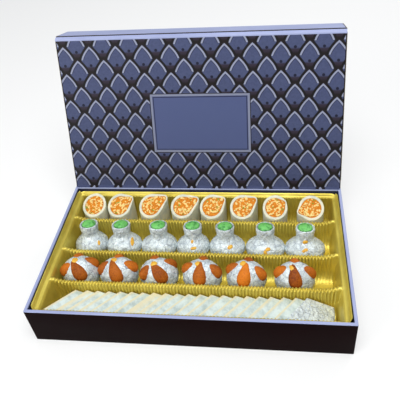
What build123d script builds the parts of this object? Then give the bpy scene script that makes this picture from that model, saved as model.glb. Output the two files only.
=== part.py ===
# A rigid sweet box for Indian mithai, shown open: a wrapped greyboard base, a cover hinged in paper
# on the top edge of the back wall, a closing flap folded back behind the cover's free edge, and a
# gold formed tray with four fluted rows of sweets.
# All lengths are in millimetres. The origin is the centre of the underside; X runs along the
# box, Y away from the person who opens it, and Z up.

from build123d import *
from math import asin, cos, radians, sin, tan
import os

os.makedirs("parts", exist_ok=True)

# Board and paper
board = 2.4
paper = 0.3
wall = board + paper + paper
overrun = 2.0
seat_gap = 0.2
slip_gap = 0.1

# The box, its cover and its flap
box_width = 300.0
box_depth = 168.0
box_height = 46.0
cover_groove = 8.0
cover_lean = 18.5
flap_groove = 4.0
flap_length = 34.0
flap_clearance = 0.5
hinge_gap = 0.6
liner_margin = 1.5
magnet_diameter = 10.0
magnet_thickness = 1.2
magnet_place_share = 0.6
magnet_reach_share = 0.55

# The gold tray
tray_gap = 1.0
tray_corner = 7.0
tray_sheet = 0.5
rim_drop = 6.0
lip_width = 1.6
lip_step = 1.4
side_shelf = 2.2
end_shelf = 3.4
side_draft = 2.0
end_draft = 6.5
divider_drop = 11.0
divider_top = 4.4
divider_shares = (-0.476, -0.012, 0.518)
divider_flat_share = 0.9
divider_slope_share = 0.98
flute_pitch = 3.2
flute_depth = 0.8
row_corner = 2.0

# Sweets
sweet_gap = 0.4
roll_radius = 13.0
roll_nose_radius = 4.0
roll_nose_reach = 16.0
roll_shell = 3.2
roll_height = 35.0
roll_slant = 22.0
roll_recess = 0.8
roll_place_shares = (-0.876, -0.668, -0.412, -0.158, 0.073, 0.309, 0.561, 0.835)
roll_nose_shares = (0.45, 0.8, 1.0, 0.95, 0.8, 0.9, 0.6, 0.75)
roll_turns = (40, 34, 32, 28, 34, 32, 30, -160)
kalash_radius = 16.2
kalash_height = 37.4
kalash_neck = 8.2
kalash_cup = 10.0
kalash_foot = 9.0
kalash_lean = 14.0
kalash_shift_share = 0.1
kalash_level_shares = (0.0, 0.4, 0.7, 0.77, 0.95, 1.0)
kalash_foot_direction = (1, 0.6)
kalash_neck_direction = (-0.25, 1)
kalash_bead = 7.6
kalash_bead_rise = 2.6
kalash_bead_seat = 3.0
kalash_place_shares = (-0.853, -0.6, -0.312, -0.05, 0.193, 0.49, 0.78)
ball_radius = 19.75
ball_seat_share = 0.957
ball_depth_share = 0.78
ball_place_shares = (-0.838, -0.553, -0.259, 0.053, 0.365, 0.698)
ball_turns = (20, 5, 25, -5, -10, 0)
ball_sides = 24
ball_rings = 9
ball_crown_rise = 80.0
almond_length = 21.0
almond_width = 12.6
almond_proud = 2.9
almonds_per_ball = 4
almond_tilt = 47.0
almond_outline_shares = ((-0.5, 0), (-0.46, 0.5), (-0.33, 0.87), (-0.15, 1), (0.1, 0.9), (0.32, 0.55), (0.5, 0))
full_turn = 360.0
katli_thickness = 4.7
katli_pitch = 11.3
katli_slope = 25.0
katli_skew = 29.8
katli_count = 21
katli_first_share = -0.777

# Places that follow from the sizes above
half_width = box_width / 2
half_depth = box_depth / 2
floor_top = paper + board + paper
flap_pivot_reach = box_depth + flap_clearance + wall / 2
cover_middle = seat_gap + wall / 2
tray_half_width = half_width - wall - tray_gap
tray_half_depth = half_depth - wall - tray_gap
tray_floor = floor_top + seat_gap
row_floor = tray_floor + tray_sheet
lip_top = box_height - rim_drop
shelf_top = lip_top - lip_step
divider_level = box_height - divider_drop
row_half_length = tray_half_width - lip_width - end_shelf
row_half_depth = tray_half_depth - lip_width - side_shelf
row_height = shelf_top - row_floor
side_lean = row_height * tan(radians(side_draft))
end_lean = row_height * tan(radians(end_draft))
divider_lines = [share * half_depth for share in divider_shares]
row_fronts = [-row_half_depth] + [y + divider_top / 2 for y in divider_lines]
row_backs = [y - divider_top / 2 for y in divider_lines] + [row_half_depth]
row_places = [(front + back) / 2 for front, back in zip(row_fronts, row_backs)]
katli_row, ball_row, kalash_row, roll_row = row_places
flute_half_run = row_half_length - end_lean - row_corner
flute_count = round(flute_half_run * 2 / flute_pitch)
flute_step = flute_half_run * 2 / flute_count
sweet_floor = row_floor + seat_gap


def finish(part, name):
    """Label one piece and write it as a STEP file under the name of its node."""
    part.label = name
    export_step(part, f"parts/{name}.step")


# Base: a greyboard tray, wrapped outside in dark paper, with its own sheet of paper under the
# bottom, and lined inside with a lavender paper that turns over the rim.
magnet_drop = flap_groove / 2 + flap_length * magnet_reach_share - cover_middle
magnet_level = box_height - magnet_drop
magnet_across = half_width * magnet_place_share
magnet_places = [(-magnet_across, magnet_level), (magnet_across, magnet_level)]
pocket_depth = magnet_thickness + slip_gap
front_board_plane = Plane.XZ.offset(half_depth - paper)

with BuildPart() as base_board:
    with BuildSketch(Plane.XY.offset(paper)):
        Rectangle(box_width - paper * 2, box_depth - paper * 2)
    extrude(amount=box_height - paper * 2)
    with BuildSketch(Plane.XY.offset(paper + board)):
        Rectangle(box_width - (paper + board) * 2, box_depth - (paper + board) * 2)
    extrude(amount=box_height, mode=Mode.SUBTRACT)
    with BuildSketch(front_board_plane):
        with Locations(*magnet_places):
            Circle(magnet_diameter / 2 + slip_gap)
    extrude(amount=-pocket_depth, mode=Mode.SUBTRACT)
finish(base_board.part, "base_board")

with BuildPart() as base_wrap:
    with BuildSketch(Plane.XY.offset(paper)):
        Rectangle(box_width, box_depth)
        Rectangle(box_width - paper * 2, box_depth - paper * 2, mode=Mode.SUBTRACT)
    extrude(amount=box_height - paper * 2)
finish(base_wrap.part, "base_wrap")

with BuildPart() as base_bottom_paper:
    with BuildSketch():
        Rectangle(box_width, box_depth)
    extrude(amount=paper)
finish(base_bottom_paper.part, "base_bottom_paper")

with BuildPart() as base_lining:
    with BuildSketch(Plane.XY.offset(box_height - paper)):
        Rectangle(box_width, box_depth)
    extrude(amount=paper)
    with BuildSketch(Plane.XY.offset(paper + board)):
        Rectangle(box_width - (paper + board) * 2, box_depth - (paper + board) * 2)
    extrude(amount=box_height - paper - board)
    with BuildSketch(Plane.XY.offset(floor_top)):
        Rectangle(box_width - wall * 2, box_depth - wall * 2)
    extrude(amount=box_height, mode=Mode.SUBTRACT)
finish(base_lining.part, "base_lining")

with BuildPart() as front_keepers:
    with BuildSketch(front_board_plane.offset(-slip_gap / 2)):
        with Locations(*magnet_places):
            Circle(magnet_diameter / 2)
    extrude(amount=-magnet_thickness)
finish(front_keepers.part, "front_keepers")

# Cover: a greyboard panel with a dark outer wrap and a printed inner sheet. Its plane starts on the
# hinge line, with its own Y running up the cover and its own Z towards the inside. The paper
# alone crosses the groove at the back wall and the narrow groove at the flap.
lean = radians(cover_lean)
cover_plane = Plane(
    origin=(0, half_depth, box_height),
    x_dir=(1, 0, 0),
    z_dir=(0, -cos(lean), sin(lean)),
)
cover_length = box_depth - cover_groove
cover_centre = cover_groove + cover_length / 2
liner_face = -seat_gap
board_face = -seat_gap - paper

with BuildPart() as cover_board:
    with BuildSketch(cover_plane.offset(board_face)):
        with Locations((0, cover_centre)):
            Rectangle(box_width - paper * 2, cover_length - paper * 2)
    extrude(amount=-board)
finish(cover_board.part, "cover_board")

with BuildPart() as cover_wrap:
    with BuildSketch(cover_plane.offset(board_face)):
        with Locations((0, cover_centre)):
            Rectangle(box_width, cover_length)
    extrude(amount=-board - paper)
    with BuildSketch(cover_plane.offset(board_face)):
        with Locations((0, cover_centre)):
            Rectangle(box_width - paper * 2, cover_length - paper * 2)
    extrude(amount=-board, mode=Mode.SUBTRACT)
    with BuildSketch(cover_plane.offset(board_face)):
        with Locations((0, (hinge_gap + cover_groove) / 2)):
            Rectangle(box_width, cover_groove - hinge_gap)
    extrude(amount=-paper)
    flap_paper_end = flap_pivot_reach - hinge_gap / 2
    with BuildSketch(cover_plane.offset(-cover_middle + paper / 2)):
        with Locations((0, (box_depth + flap_paper_end) / 2)):
            Rectangle(box_width, flap_paper_end - box_depth)
    extrude(amount=-paper)
finish(cover_wrap.part, "cover_wrap")

liner_start = cover_groove + liner_margin
liner_end = box_depth - liner_margin
with BuildPart() as cover_liner:
    with BuildSketch(cover_plane.offset(liner_face)):
        with Locations((0, (liner_start + liner_end) / 2)):
            Rectangle(box_width - liner_margin * 2, liner_end - liner_start)
    extrude(amount=-paper)
finish(cover_liner.part, "cover_liner")

hinge_strip_end = liner_start - slip_gap
with BuildPart() as hinge_strip:
    with BuildSketch(cover_plane.offset(liner_face)):
        with Locations((0, (hinge_gap + hinge_strip_end) / 2)):
            Rectangle(box_width - liner_margin * 2, hinge_strip_end - hinge_gap)
    extrude(amount=-paper)
finish(hinge_strip.part, "hinge_strip")

# Closing flap: a narrow panel made like the cover, with two magnets let into its board. It is
# folded square behind the cover, so its own Y runs away from the cover's outer face.
flap_plane = Plane(
    origin=cover_plane.from_local_coords((0, flap_pivot_reach, -cover_middle)),
    x_dir=(1, 0, 0),
    z_dir=(0, sin(lean), cos(lean)),
)
flap_start = flap_groove / 2
flap_centre = flap_start + flap_length / 2
flap_inner = wall / 2
magnet_reach = flap_start + flap_length * magnet_reach_share
flap_magnet_places = [(-magnet_across, magnet_reach), (magnet_across, magnet_reach)]

with BuildPart() as flap_board:
    with BuildSketch(flap_plane.offset(flap_inner - paper)):
        with Locations((0, flap_centre)):
            Rectangle(box_width - paper * 2, flap_length - paper * 2)
    extrude(amount=-board)
    with BuildSketch(flap_plane.offset(flap_inner - paper)):
        with Locations(*flap_magnet_places):
            Circle(magnet_diameter / 2 + slip_gap)
    extrude(amount=-pocket_depth, mode=Mode.SUBTRACT)
finish(flap_board.part, "flap_board")

with BuildPart() as flap_wrap:
    with BuildSketch(flap_plane.offset(flap_inner - paper)):
        with Locations((0, flap_centre)):
            Rectangle(box_width, flap_length)
    extrude(amount=-board - paper)
    with BuildSketch(flap_plane.offset(flap_inner - paper)):
        with Locations((0, flap_centre)):
            Rectangle(box_width - paper * 2, flap_length - paper * 2)
    extrude(amount=-board, mode=Mode.SUBTRACT)
    with BuildSketch(flap_plane.offset(paper / 2)):
        with Locations((0, (hinge_gap / 2 + flap_start) / 2)):
            Rectangle(box_width, flap_start - hinge_gap / 2)
    extrude(amount=-paper)
finish(flap_wrap.part, "flap_wrap")

with BuildPart() as flap_lining:
    with BuildSketch(flap_plane.offset(flap_inner)):
        with Locations((0, flap_centre)):
            Rectangle(box_width - liner_margin * 2, flap_length - liner_margin * 2)
    extrude(amount=-paper)
finish(flap_lining.part, "flap_lining")

with BuildPart() as flap_magnets:
    with BuildSketch(flap_plane.offset(flap_inner - paper - slip_gap / 2)):
        with Locations(*flap_magnet_places):
            Circle(magnet_diameter / 2)
    extrude(amount=-magnet_thickness)
finish(flap_magnets.part, "flap_magnets")


# Gold tray: one formed sheet with a stepped lip, four rows sunk between three hollow dividers, and
# upright flutes along every long wall. Each outline below is the row's edge at one height: the
# long walls lean in by side_lean and the end walls by end_lean from the shelf to the floor.
def share_of_height(z):
    """How far a height lies from the shelf (0) down to the floor of the rows (1)."""
    return (shelf_top - z) / row_height


def fluted_line(y, depth, shift=0):
    """Points from left to right along one fluted wall, out to depth and back to y."""
    points = []
    for step in range(flute_count + 1):
        bump = depth if step % 2 else 0
        points.append((-flute_half_run + step * flute_step, y + bump + shift))
    return points


def row_outline(front, back, z, skin=0):
    """The edge of one row at one height; skin moves it outwards to the sheet's other face."""
    lean_in = side_lean * share_of_height(z) - skin
    end = row_half_length - end_lean * share_of_height(z) + skin
    front_line = fluted_line(front + lean_in, -flute_depth)
    back_line = fluted_line(back - lean_in, flute_depth)
    corner_front = front + lean_in + row_corner
    corner_back = back - lean_in - row_corner
    right_end = [(end, corner_front), (end, corner_back)]
    left_end = [(-end, corner_back), (-end, corner_front)]
    return front_line + right_end + back_line[::-1] + left_end


def hollow_outline(front, back, z):
    """The open space under one divider, between the skins of the rows in front and behind."""
    lean_in = side_lean * share_of_height(z)
    near_line = fluted_line(front - lean_in, flute_depth, tray_sheet)
    far_line = fluted_line(back + lean_in, -flute_depth, -tray_sheet)
    flare = row_half_length - end_lean * share_of_height(z) + tray_sheet
    mouth = row_half_length + end_shelf
    near = near_line[0][1] - row_corner
    far = far_line[0][1] + row_corner
    right_end = [(flare, near), (mouth, near), (mouth, far), (flare, far)]
    left_end = [(-flare, far), (-mouth, far), (-mouth, near), (-flare, near)]
    return near_line + right_end + far_line[::-1] + left_end


row_top = shelf_top + overrun
hollow_foot = tray_floor - overrun
hollow_top = shelf_top - tray_sheet
slope_half_length = row_half_length * divider_slope_share
flat_half_length = row_half_length * divider_flat_share
saddle_rise = row_top - divider_level
saddle_run = (slope_half_length - flat_half_length) * saddle_rise / (shelf_top - divider_level)
saddle_depth = divider_top + row_corner * 2

row_spaces = []
for front, back in zip(row_fronts, row_backs):
    with BuildPart() as row_space:
        for z in (row_floor, row_top):
            with BuildSketch(Plane.XY.offset(z)):
                with BuildLine():
                    Polyline(*row_outline(front, back, z), close=True)
                make_face()
        loft(ruled=True, clean=False)
    row_spaces.append(row_space.part)

saddles = []
hollows = []
for line in divider_lines:
    with BuildPart() as saddle:
        with BuildSketch(Plane.XZ.offset(-line)):
            with BuildLine():
                Polyline(
                    (-flat_half_length, divider_level),
                    (flat_half_length, divider_level),
                    (flat_half_length + saddle_run, row_top),
                    (-flat_half_length - saddle_run, row_top),
                    close=True,
                )
            make_face()
        extrude(amount=saddle_depth / 2, both=True)
    saddles.append(saddle.part)
    with BuildPart() as hollow:
        for z in (hollow_foot, hollow_top):
            with BuildSketch(Plane.XY.offset(z)):
                with BuildLine():
                    Polyline(*hollow_outline(line - divider_top / 2, line + divider_top / 2, z), close=True)
                make_face()
        loft(ruled=True, clean=False)
        with Locations((0, 0, -tray_sheet)):
            add(saddle.part, mode=Mode.SUBTRACT, clean=False)
    hollows.append(hollow.part)

with BuildPart() as gold_tray:
    for z in (tray_floor, shelf_top):
        with BuildSketch(Plane.XY.offset(z)):
            with BuildLine():
                Polyline(*row_outline(-row_half_depth, row_half_depth, z, tray_sheet), close=True)
            make_face()
    loft(ruled=True, clean=False)
    with BuildSketch(Plane.XY.offset(shelf_top - tray_sheet)):
        RectangleRounded(
            (tray_half_width - lip_width + tray_sheet) * 2,
            (tray_half_depth - lip_width + tray_sheet) * 2,
            tray_corner - lip_width,
        )
    extrude(amount=lip_step + tray_sheet, clean=False)
    with BuildSketch(Plane.XY.offset(lip_top - tray_sheet)):
        RectangleRounded(tray_half_width * 2, tray_half_depth * 2, tray_corner)
    extrude(amount=tray_sheet, clean=False)
    with BuildSketch(Plane.XY.offset(shelf_top)):
        RectangleRounded(
            (tray_half_width - lip_width) * 2,
            (tray_half_depth - lip_width) * 2,
            tray_corner - lip_width - tray_sheet,
        )
    extrude(amount=lip_step + overrun, mode=Mode.SUBTRACT, clean=False)
    add(row_spaces + saddles + hollows, mode=Mode.SUBTRACT, clean=False)
finish(gold_tray.part, "gold_tray")


# Back row: eight rolls, each a white outer layer round a nutty filling, cut on a slant so that the
# filling faces whoever opens the box. A roll's section is round with one drawn-out corner.
def roll_section(place, nose_share, turn, skin=0):
    """The section of one roll: a big round and a small round under one tight skin."""
    angle = radians(turn)
    reach = roll_nose_reach * nose_share
    nose = (place + reach * cos(angle), roll_row + reach * sin(angle))
    with Locations((place, roll_row)):
        Circle(roll_radius - skin)
    with Locations(nose):
        Circle(roll_nose_radius - skin / 2)
    make_hull()


roll_cut = Plane(
    origin=(0, roll_row, sweet_floor + roll_height),
    x_dir=(1, 0, 0),
    z_dir=(0, -sin(radians(roll_slant)), cos(radians(roll_slant))),
)
roll_blank = roll_height + roll_radius
roll_list = list(zip(roll_place_shares, roll_nose_shares, roll_turns))
fillings = []
for number, (share, nose_share, turn) in enumerate(roll_list, start=1):
    place = share * row_half_length
    with BuildPart() as roll:
        with BuildSketch(Plane.XY.offset(sweet_floor)):
            roll_section(place, nose_share, turn)
        extrude(amount=roll_blank)
        split(bisect_by=roll_cut, keep=Keep.BOTTOM)
        with BuildSketch(Plane.XY.offset(sweet_floor)):
            roll_section(place, nose_share, turn, roll_shell)
        extrude(amount=roll_blank, mode=Mode.SUBTRACT)
    finish(roll.part, f"roll_{number}")
    with BuildPart() as filling:
        with BuildSketch(Plane.XY.offset(sweet_floor)):
            roll_section(place, nose_share, turn, roll_shell + slip_gap)
        extrude(amount=roll_blank)
        split(bisect_by=roll_cut.offset(-roll_recess), keep=Keep.BOTTOM)
    fillings.append(filling.part)
roll_fillings = Compound(children=fillings)
finish(roll_fillings, "roll_fillings")

# Second row: seven kalash, small silver-leafed pots that lean back a little. Each has a green
# pistachio bead in its mouth, pressed flat by the cover so that only a low dome is left above it.
foot_z, belly_z, neck_low_z, neck_high_z, lip_z, mouth_z = [
    share * kalash_height for share in kalash_level_shares
]
kalash_origin_z = sweet_floor + kalash_foot * sin(radians(kalash_lean))
kalash_y = kalash_row - kalash_height * kalash_shift_share * sin(radians(kalash_lean))

with BuildPart() as pot_form:
    with BuildSketch(Plane.XZ):
        with BuildLine():
            Line((0, foot_z), (kalash_foot, foot_z))
            Spline(
                (kalash_foot, foot_z),
                (kalash_radius, belly_z),
                (kalash_neck, neck_low_z),
                tangents=(kalash_foot_direction, kalash_neck_direction),
            )
            Line((kalash_neck, neck_low_z), (kalash_neck, neck_high_z))
            Line((kalash_neck, neck_high_z), (kalash_cup, lip_z))
            Line((kalash_cup, lip_z), (kalash_cup, mouth_z))
            Line((kalash_cup, mouth_z), (0, mouth_z))
            Line((0, mouth_z), (0, foot_z))
        make_face()
    revolve(axis=Axis.Z)
    with BuildSketch(Plane.XY.offset(mouth_z - kalash_bead_seat - slip_gap)):
        Circle(kalash_bead + slip_gap)
    extrude(amount=kalash_bead_seat + kalash_bead_rise, mode=Mode.SUBTRACT)

bead_dome = (kalash_bead**2 + kalash_bead_rise**2) / (kalash_bead_rise * 2)
with BuildPart() as bead_form:
    with BuildSketch(Plane.XY.offset(mouth_z - kalash_bead_seat)):
        Circle(kalash_bead)
    extrude(amount=kalash_bead_seat + kalash_bead_rise)
    with Locations((0, 0, mouth_z + kalash_bead_rise - bead_dome)):
        Sphere(bead_dome, mode=Mode.INTERSECT)

beads = []
for number, share in enumerate(kalash_place_shares, start=1):
    stand = Location((share * row_half_length, kalash_y, kalash_origin_z), (-kalash_lean, 0, 0))
    with BuildPart() as kalash:
        with Locations(stand):
            add(pot_form.part)
    finish(kalash.part, f"kalash_{number}")
    with BuildPart() as bead:
        with Locations(stand):
            add(bead_form.part)
    beads.append(bead.part)
pistachio_beads = Compound(children=beads)
finish(pistachio_beads, "pistachio_beads")

# Third row: six silver-leafed balls, a little flattened from front to back. Each has four almonds
# on top, and every almond lies with its flat side on a seat pressed into the ball.
ball_half_depth = ball_radius * ball_depth_share
ball_centre = sweet_floor + ball_radius * ball_seat_share
lowest_rise = asin(-ball_seat_share)
highest_rise = radians(ball_crown_rise)


def ball_outline(rise):
    """The many-sided outline of a ball at one height, given as the angle seen from its middle."""
    points = []
    for side in range(ball_sides):
        around = radians(full_turn * side / ball_sides)
        points.append((ball_radius * cos(rise) * cos(around), ball_half_depth * cos(rise) * sin(around)))
    return points


with BuildPart() as ball_form:
    for ring in range(ball_rings + 1):
        rise = lowest_rise + (highest_rise - lowest_rise) * ring / ball_rings
        with BuildSketch(Plane.XY.offset(ball_radius * sin(rise))):
            with BuildLine():
                Polyline(*ball_outline(rise), close=True)
            make_face()
    loft(ruled=True, clean=False)

with BuildPart() as almond_form:
    with BuildSketch():
        with BuildLine():
            Polyline(
                *[(almond_width / 2 * out, almond_length * along) for along, out in almond_outline_shares],
                close=True,
            )
        make_face()
    revolve(axis=Axis.Y.reverse(), revolution_arc=full_turn / 2)


def almond_stand(place, around):
    """The seat of one almond: its own Y runs up the ball, and its own Z away from it."""
    across = ball_radius * ball_half_depth / (
        (ball_half_depth * cos(around)) ** 2 + (ball_radius * sin(around)) ** 2
    ) ** 0.5
    tilt = radians(almond_tilt)
    steep = (ball_radius * sin(tilt), across * cos(tilt))
    norm = (steep[0] ** 2 + steep[1] ** 2) ** 0.5
    sunk = almond_width / 2 - almond_proud
    out = across * sin(tilt) - sunk * steep[0] / norm
    up = ball_radius * cos(tilt) - sunk * steep[1] / norm
    return Plane(
        origin=(place[0] + out * cos(around), place[1] + out * sin(around), place[2] + up),
        x_dir=(-sin(around), cos(around), 0),
        z_dir=(cos(around) * steep[0] / norm, sin(around) * steep[0] / norm, steep[1] / norm),
    )


almond_set = []
for number, (share, turn) in enumerate(zip(ball_place_shares, ball_turns), start=1):
    place = (share * row_half_length, ball_row, ball_centre)
    turns = [radians(turn + full_turn * step / almonds_per_ball) for step in range(almonds_per_ball)]
    stands = [almond_stand(place, around) for around in turns]
    with BuildPart() as ball:
        with Locations(place):
            add(ball_form.part, clean=False)
        for stand in stands:
            split(bisect_by=stand.offset(-slip_gap / 2), keep=Keep.BOTTOM)
    finish(ball.part, f"almond_ball_{number}")
    for stand in stands:
        with BuildPart() as almond:
            with Locations(stand.location):
                add(almond_form.part)
        almond_set.append(almond.part)
almonds = Compound(children=almond_set)
finish(almonds, "almonds")

# Front row: cashew diamonds laid like fallen dominoes, each over its left neighbour. The last ones
# are cut short by the end of the row.
slope = radians(katli_slope)
katli_back = row_backs[0] - side_lean - sweet_gap
katli_front = row_fronts[0] + side_lean + sweet_gap
katli_depth = katli_back - katli_front
katli_edge = (katli_skew**2 + katli_depth**2) ** 0.5
katli_low = sweet_floor + katli_thickness * cos(slope) + katli_edge * sin(slope)
row_end = row_half_length - end_lean - row_corner
for number in range(1, katli_count + 1):
    tip = katli_first_share * row_half_length + katli_pitch * (number - 1)
    lie = Plane(
        origin=(tip, katli_back, katli_low),
        x_dir=(cos(slope), 0, -sin(slope)),
        z_dir=(sin(slope), 0, cos(slope)),
    )
    with BuildPart() as katli:
        with BuildSketch(lie):
            with BuildLine():
                Polyline(
                    (0, 0),
                    (-katli_skew, -katli_depth),
                    (katli_edge - katli_skew, -katli_depth),
                    (katli_edge, 0),
                    close=True,
                )
            make_face()
        extrude(amount=-katli_thickness)
        split(bisect_by=Plane.YZ.offset(row_end), keep=Keep.BOTTOM)
    finish(katli.part, f"katli_{number}")
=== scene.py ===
import math
import random

import bpy
import numpy as np
from mathutils import Matrix, Vector, noise


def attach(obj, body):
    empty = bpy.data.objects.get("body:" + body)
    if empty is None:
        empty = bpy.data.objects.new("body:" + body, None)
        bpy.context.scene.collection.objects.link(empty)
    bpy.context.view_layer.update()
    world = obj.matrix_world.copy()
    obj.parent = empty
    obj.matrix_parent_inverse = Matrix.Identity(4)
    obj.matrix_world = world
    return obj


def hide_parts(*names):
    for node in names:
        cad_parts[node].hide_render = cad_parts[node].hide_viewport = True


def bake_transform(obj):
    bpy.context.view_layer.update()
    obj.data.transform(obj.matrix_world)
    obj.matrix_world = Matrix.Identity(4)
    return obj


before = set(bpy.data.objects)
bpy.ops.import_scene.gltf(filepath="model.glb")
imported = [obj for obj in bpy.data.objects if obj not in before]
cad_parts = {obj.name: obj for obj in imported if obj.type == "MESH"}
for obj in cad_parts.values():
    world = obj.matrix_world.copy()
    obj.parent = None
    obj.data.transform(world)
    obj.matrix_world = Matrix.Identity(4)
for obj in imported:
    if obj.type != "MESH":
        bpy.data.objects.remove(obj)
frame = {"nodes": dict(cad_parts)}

mm = 0.001
scene = bpy.context.scene
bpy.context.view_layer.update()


# Studio: a pale floor, a soft lamp above and in front, weaker ones from the left and from behind,
# and a camera at the height and turn from which the photograph was taken.
def colour(code):
    """An sRGB colour written as hex, as linear values with full opacity."""
    parts = [int(code[i : i + 2], 16) / 255 for i in (1, 3, 5)]
    linear = [p / 12.92 if p <= 0.04045 else ((p + 0.055) / 1.055) ** 2.4 for p in parts]
    return (*linear, 1.0)


def add_node(tree, kind, inputs=None, **settings):
    """Adds one node, sets its properties, and sets or links its inputs. A node that is given as an
    input stands for its first output."""
    made = tree.nodes.new(kind)
    for key, value in settings.items():
        setattr(made, key, value)
    for key, value in (inputs or {}).items():
        if isinstance(value, bpy.types.Node):
            value = value.outputs[0]
        if isinstance(value, bpy.types.NodeSocket):
            tree.links.new(value, made.inputs[key])
        else:
            made.inputs[key].default_value = value
    return made


def new_material(name):
    """An empty node material and its tree."""
    made = bpy.data.materials.new(name)
    made.use_nodes = True
    made.node_tree.nodes.clear()
    return made, made.node_tree


camera_place = Vector((0.0830, -0.3435, 0.4511))
camera_pitch, camera_yaw, camera_roll = math.radians(39.01), math.radians(9.56), math.radians(-6.09)
camera_length = 527.7
picture_width = 400
picture_centre = (210, 150)

ahead = Vector((
    -math.sin(camera_yaw) * math.cos(camera_pitch),
    math.cos(camera_yaw) * math.cos(camera_pitch),
    -math.sin(camera_pitch),
))
level = Vector((math.cos(camera_yaw), math.sin(camera_yaw), 0))
steep = level.cross(ahead)
right = level * math.cos(camera_roll) + steep * math.sin(camera_roll)
upward = steep * math.cos(camera_roll) - level * math.sin(camera_roll)
camera_data = bpy.data.cameras.new("camera")
camera_data.sensor_width = 36
camera_data.lens = camera_length / picture_width * camera_data.sensor_width
camera_data.shift_x = -(picture_centre[0] - picture_width / 2) / picture_width
camera_data.shift_y = (picture_centre[1] - picture_width / 2) / picture_width
camera = bpy.data.objects.new("camera", camera_data)
camera.matrix_world = Matrix([
    *((right[way], upward[way], -ahead[way], camera_place[way]) for way in range(3)), (0, 0, 0, 1)])
scene.collection.objects.link(camera)
scene.camera = camera
scene.view_settings.view_transform = "Standard"

floor_reach = 3.0
floor_whiteness = 0.5
floor_mesh = bpy.data.meshes.new("floor")
floor_mesh.from_pydata(
    [(-floor_reach, -floor_reach, 0), (floor_reach, -floor_reach, 0), (floor_reach, floor_reach, 0),
     (-floor_reach, floor_reach, 0)], [], [(0, 1, 2, 3)])
floor = bpy.data.objects.new("floor", floor_mesh)
scene.collection.objects.link(floor)
floor_paint, tree = new_material("pale_studio_floor")
shader = add_node(tree, "ShaderNodeBsdfPrincipled", {"Base Color": colour("#f4f4f2"), "Roughness": 0.9})
white = add_node(tree, "ShaderNodeEmission", {"Color": (1, 1, 1, 1), "Strength": 1.0})
ray = add_node(tree, "ShaderNodeLightPath")
whiter = add_node(tree, "ShaderNodeMath", {0: ray.outputs["Is Camera Ray"], 1: floor_whiteness},
                  operation="MULTIPLY")
both = add_node(tree, "ShaderNodeMixShader", {0: whiter, 1: shader, 2: white})
add_node(tree, "ShaderNodeOutputMaterial", {"Surface": both})
floor_mesh.materials.append(floor_paint)

sky_strength = 0.5
world = bpy.data.worlds.new("studio")
world.use_nodes = True
scene.world = world
tree = world.node_tree
tree.nodes.clear()
ray = add_node(tree, "ShaderNodeLightPath")
seen = add_node(tree, "ShaderNodeMath", {0: ray.outputs["Is Camera Ray"],
                1: ray.outputs["Is Transmission Ray"]}, operation="MAXIMUM")
dim = add_node(tree, "ShaderNodeBackground", {"Color": colour("#dfe3ea"), "Strength": sky_strength})
bright = add_node(tree, "ShaderNodeBackground", {"Color": (1, 1, 1, 1), "Strength": 1.0})
both = add_node(tree, "ShaderNodeMixShader", {0: seen, 1: dim, 2: bright})
add_node(tree, "ShaderNodeOutputWorld", {"Surface": both})

lamp_aim = Vector((0, 0, 0.03))
for lamp_name, place, size, power in (
    ("overhead_softbox", (0.10, -0.25, 1.10), 0.7, 9.5),
    ("left_fill", (-0.80, -0.70, 0.60), 0.6, 4.5),
    ("back_fill", (0.60, 1.00, 0.90), 0.6, 4.0),
):
    lamp_data = bpy.data.lights.new(lamp_name, "AREA")
    lamp_data.size = size
    lamp_data.energy = power
    lamp = bpy.data.objects.new(lamp_name, lamp_data)
    lamp.location = place
    lamp.rotation_mode = "QUATERNION"
    lamp.rotation_quaternion = (lamp_aim - Vector(place)).to_track_quat("-Z", "Y")
    scene.collection.objects.link(lamp)

# Base: greyboard, wrapped outside in dark laminated paper and lined with a satin lavender paper
# that comes over the rim. The wrap is one skin round the walls and under the bottom, and the
# boards inside it stay as they are in the frame.
box_half = (150.0, 84.0)
box_height = 46.0
wall = 3.0
paper_thick = 0.3
rim_turn = 0.8
rim_band = 1.4
edge_round = 0.7
bevel_share = 0.3
corner_round = 1.0
inner_round = 3.6
least_round = 0.15
skin_gap = 0.02
round_steps = 4


def new_piece(name, points, faces, body, slot, *nodes, smooth=40):
    """A mesh in millimetres becomes a piece on a body that stands for CAD nodes."""
    mesh = bpy.data.meshes.new(name)
    mesh.from_pydata([tuple(c * mm for c in p) for p in points], [], faces)
    mesh.validate()
    mesh.shade_smooth()
    if smooth:
        mesh.set_sharp_from_angle(angle=math.radians(smooth))
    made = bpy.data.objects.new(name, mesh)
    scene.collection.objects.link(made)
    if body:
        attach(made, body)
    if nodes:
        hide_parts(*nodes)
    return made


def ring(half_x, half_y, turn, z):
    """One level outline of the box, with its four corners rounded by turn."""
    points = []
    for corner in range(4):
        side_x = (1, -1, -1, 1)[corner]
        side_y = (1, 1, -1, -1)[corner]
        for step in range(round_steps + 1):
            angle = math.pi / 2 * (corner + step / round_steps)
            points.append((
                side_x * (half_x - turn) + turn * math.cos(angle),
                side_y * (half_y - turn) + turn * math.sin(angle),
                z,
            ))
    return points


def stacked(rings, capped=True):
    """Points and faces of rings joined one to the next, with a face over the first and last."""
    count = len(rings[0])
    points = [p for one in rings for p in one]
    faces = []
    for level_number in range(len(rings) - 1):
        low, high = level_number * count, (level_number + 1) * count
        for step in range(count):
            ahead_step = (step + 1) % count
            faces.append((low + step, low + ahead_step, high + ahead_step, high + step))
    if capped:
        faces.append(tuple(reversed(range(count))))
        faces.append(tuple(range(len(points) - count, len(points))))
    return points, faces


def box_ring(inset, z, turn=corner_round):
    """An outline of the box, inset from its outer face."""
    return ring(box_half[0] - inset, box_half[1] - inset, max(turn - inset, least_round), z)


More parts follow.
